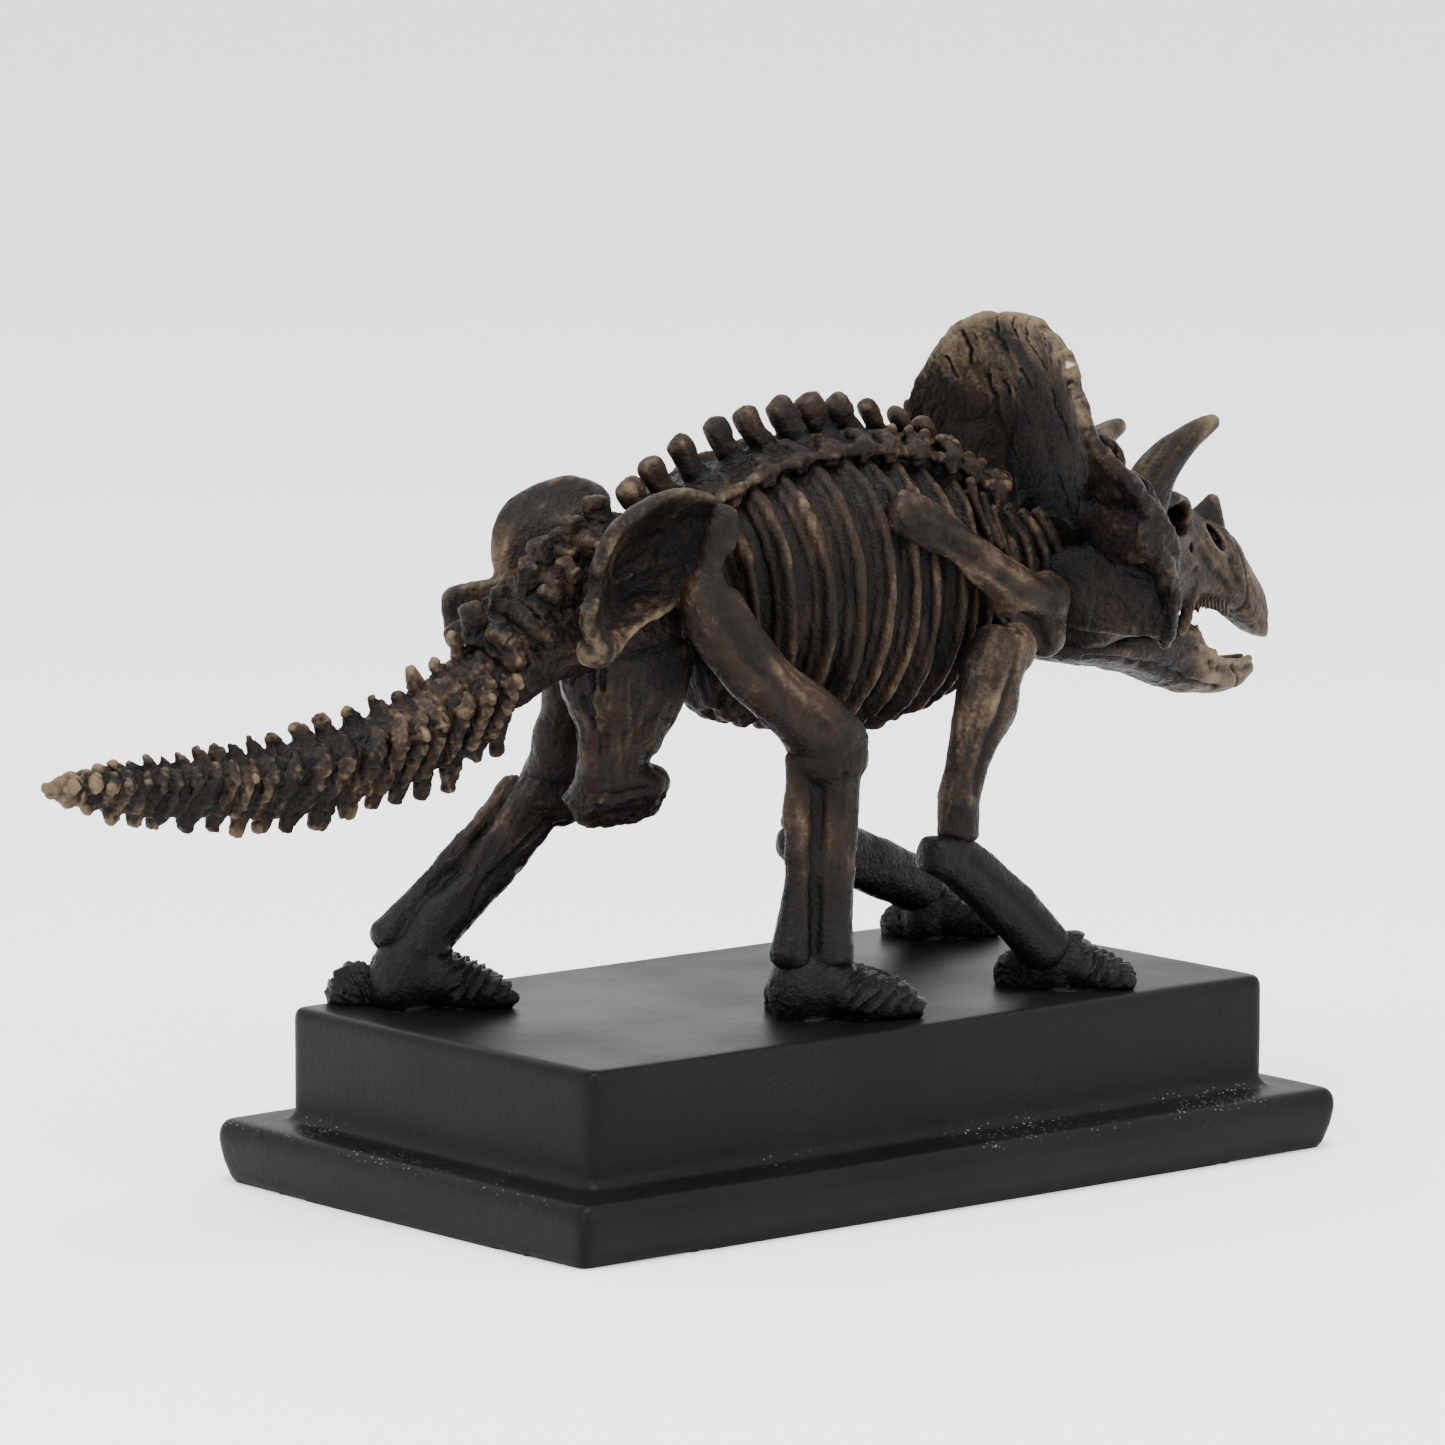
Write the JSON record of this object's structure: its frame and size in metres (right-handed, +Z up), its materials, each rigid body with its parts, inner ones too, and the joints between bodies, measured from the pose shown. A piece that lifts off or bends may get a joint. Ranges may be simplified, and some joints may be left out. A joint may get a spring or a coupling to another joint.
{
  "type": "cast resin desk statue of a triceratops skeleton on a plinth",
  "caption": "Still desk statue: a walking horned dinosaur skeleton in painted cast resin, moulded onto a black two-step plinth.",
  "frame": {"origin": "middle of the plinth's underside", "axes": "+X to the beak along the plinth's length, +Y to the animal's left, +Z up"},
  "size_m": [0.256, 0.0982, 0.1384],
  "materials": {
    "painted_resin_bone": "cast resin with a near-black wash in the hollows and tan dry-brushed edges, satin",
    "satin_black_plinth": "cast resin painted satin black"
  },
  "bodies": {
    "root": {"backbone": "painted_resin_bone", "brow_horn_left": "painted_resin_bone", "brow_horn_right": "painted_resin_bone", "femur_left": "painted_resin_bone", "femur_right": "painted_resin_bone", "fore_foot_left": "painted_resin_bone", "fore_foot_right": "painted_resin_bone", "forearm_left": "painted_resin_bone", "forearm_right": "painted_resin_bone", "frill": "painted_resin_bone", "hind_foot_left": "painted_resin_bone", "hind_foot_right": "painted_resin_bone", "humerus_left": "painted_resin_bone", "humerus_right": "painted_resin_bone", "ilium_left": "painted_resin_bone", "ilium_right": "painted_resin_bone", "lower_jaw": "painted_resin_bone", "neck": "painted_resin_bone", "nose_horn": "painted_resin_bone", "plinth": "satin_black_plinth", "pubis": "painted_resin_bone", "rib_cage_left": "painted_resin_bone", "rib_cage_right": "painted_resin_bone", "sacrum": "painted_resin_bone", "shin_left": "painted_resin_bone", "shin_right": "painted_resin_bone", "shoulder_blade_left": "painted_resin_bone", "shoulder_blade_right": "painted_resin_bone", "skull": "painted_resin_bone", "tail_1": "painted_resin_bone", "tail_2": "painted_resin_bone", "tail_3": "painted_resin_bone"}
  },
  "joints": []
}
